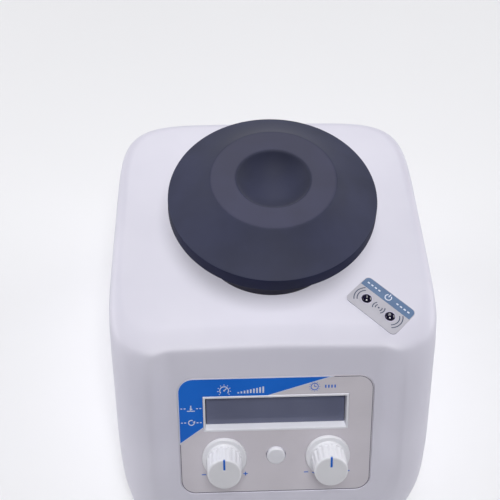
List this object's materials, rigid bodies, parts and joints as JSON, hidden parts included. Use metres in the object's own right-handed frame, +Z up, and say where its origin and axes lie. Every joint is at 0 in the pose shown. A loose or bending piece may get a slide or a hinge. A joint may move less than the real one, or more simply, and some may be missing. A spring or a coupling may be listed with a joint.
{
  "type": "multi-tube orbital mixer",
  "caption": "Bench orbital mixer: a wide rubber head on a boot circles above a moulded housing with a sloping front panel, display, knobs, a touch sensor plate and a rear power inlet.",
  "frame": {"origin": "middle of the bounding box, at the underside of the feet", "axes": "+X to the right, +Y to the back, +Z up; the sloping front panel faces -Y"},
  "size_m": [0.163, 0.2078, 0.1607],
  "materials": {
    "housing": "fine even moulded grain, pale lavender grey",
    "base": "black powder coat",
    "foot": "matt black rubber",
    "zinc": "zinc plated steel",
    "pad": "matt charcoal rubber with a soft sheen",
    "boot": "thin matt black rubber",
    "cast": "turned casting",
    "steel": "ground steel",
    "winding": "enamelled copper wire over laminations",
    "panel": "printed polyester sheet, blue and grey",
    "white": "satin white",
    "knob": "satin white",
    "display": "polished dark window",
    "control_shaft": "turned",
    "sensor": "satin grey with a slate blue band",
    "lens": "polished, nearly black",
    "board": "glass fibre board with green lacquer",
    "black": "fine moulded grain"
  },
  "bodies": {
    "body": {"housing_shell": "housing", "base_plate": "base", "foot_1": "foot", "foot_2": "foot", "foot_3": "foot", "foot_4": "foot", "foot_screw_1": "zinc", "foot_screw_2": "zinc", "foot_screw_3": "zinc", "foot_screw_4": "zinc", "boot_clamp_ring": "zinc", "touch_bracket": "zinc", "head_boot": "boot", "shoulder_bolt_1": "steel", "shoulder_bolt_2": "steel", "shoulder_bolt_3": "steel", "plate_spring_1": "steel", "plate_spring_2": "steel", "plate_spring_3": "steel", "panel_overlay": "panel", "display_frame": "white", "display_glass": "display", "sensor_plate": "sensor", "sensor_lens_1": "lens", "sensor_lens_2": "lens", "control_board": "board", "sensor_board": "board", "power_board": "board", "touch_switch": "black", "display_module": "black", "speed_encoder": "black", "time_encoder": "black", "mode_switch": "black", "power_inlet": "black", "power_switch_body": "black"},
    "carriage": {"motor_plate": "zinc", "motor_can": "base", "motor_end_cap": "cast", "motor_stator": "winding", "motor_bearing_upper": "steel", "motor_bearing_lower": "steel"},
    "rotor": {"motor_shaft": "steel", "rotor_core": "steel", "crank": "steel", "crank_set_screw": "steel", "head_washer": "zinc", "head_screw": "zinc"},
    "head": {"head_bearing": "steel", "head_hub": "cast", "head_pad": "pad"},
    "speed_control": {"speed_knob": "knob", "speed_shaft": "control_shaft"},
    "time_control": {"time_knob": "knob", "time_shaft": "control_shaft"},
    "mode_key": {"mode_button": "white"},
    "rocker": {"power_rocker": "black"},
    "fuse_holder": {"fuse_drawer": "black"}
  },
  "joints": [
    {"name": "head_press", "type": "slide", "parent": "body", "child": "carriage", "axis": [0, 0, -1], "range_m": [0, 0.0015], "stiffness_N_per_m": 6000, "springref_m": -0.004, "deforming": ["plate_spring_1", "plate_spring_2", "plate_spring_3", "head_boot"]},
    {"name": "rotor_spin", "type": "hinge", "parent": "carriage", "child": "rotor", "pos_m": [0, 0.01546, 0.08], "axis": [0, 0, 1], "continuous": true},
    {"name": "head_orbit", "type": "hinge", "parent": "rotor", "child": "head", "pos_m": [0, 0.01321, 0.13], "axis": [0, 0, 1], "continuous": true},
    {"name": "speed_turn", "type": "hinge", "parent": "body", "child": "speed_control", "pos_m": [-0.0256, -0.08351, 0.063], "axis": [0, -0.809, 0.5878], "continuous": true},
    {"name": "time_turn", "type": "hinge", "parent": "body", "child": "time_control", "pos_m": [0.0256, -0.08351, 0.063], "axis": [0, -0.809, 0.5878], "continuous": true},
    {"name": "mode_press", "type": "slide", "parent": "body", "child": "mode_key", "axis": [0, 0.809, -0.5878], "range_m": [0, 0.0008], "stiffness_N_per_m": 400, "springref_m": -0.002},
    {"name": "power_tip", "type": "hinge", "parent": "body", "child": "rocker", "pos_m": [0.03, 0.10001, 0.042], "axis": [1, 0, 0], "range_deg": [0, 20]},
    {"name": "fuse_pull", "type": "slide", "parent": "body", "child": "fuse_holder", "axis": [0, 1, 0], "range_m": [0, 0.012]}
  ],
  "couplings": [
    {"joint": "head_orbit", "follows": "rotor_spin", "ratio": -1}
  ]
}
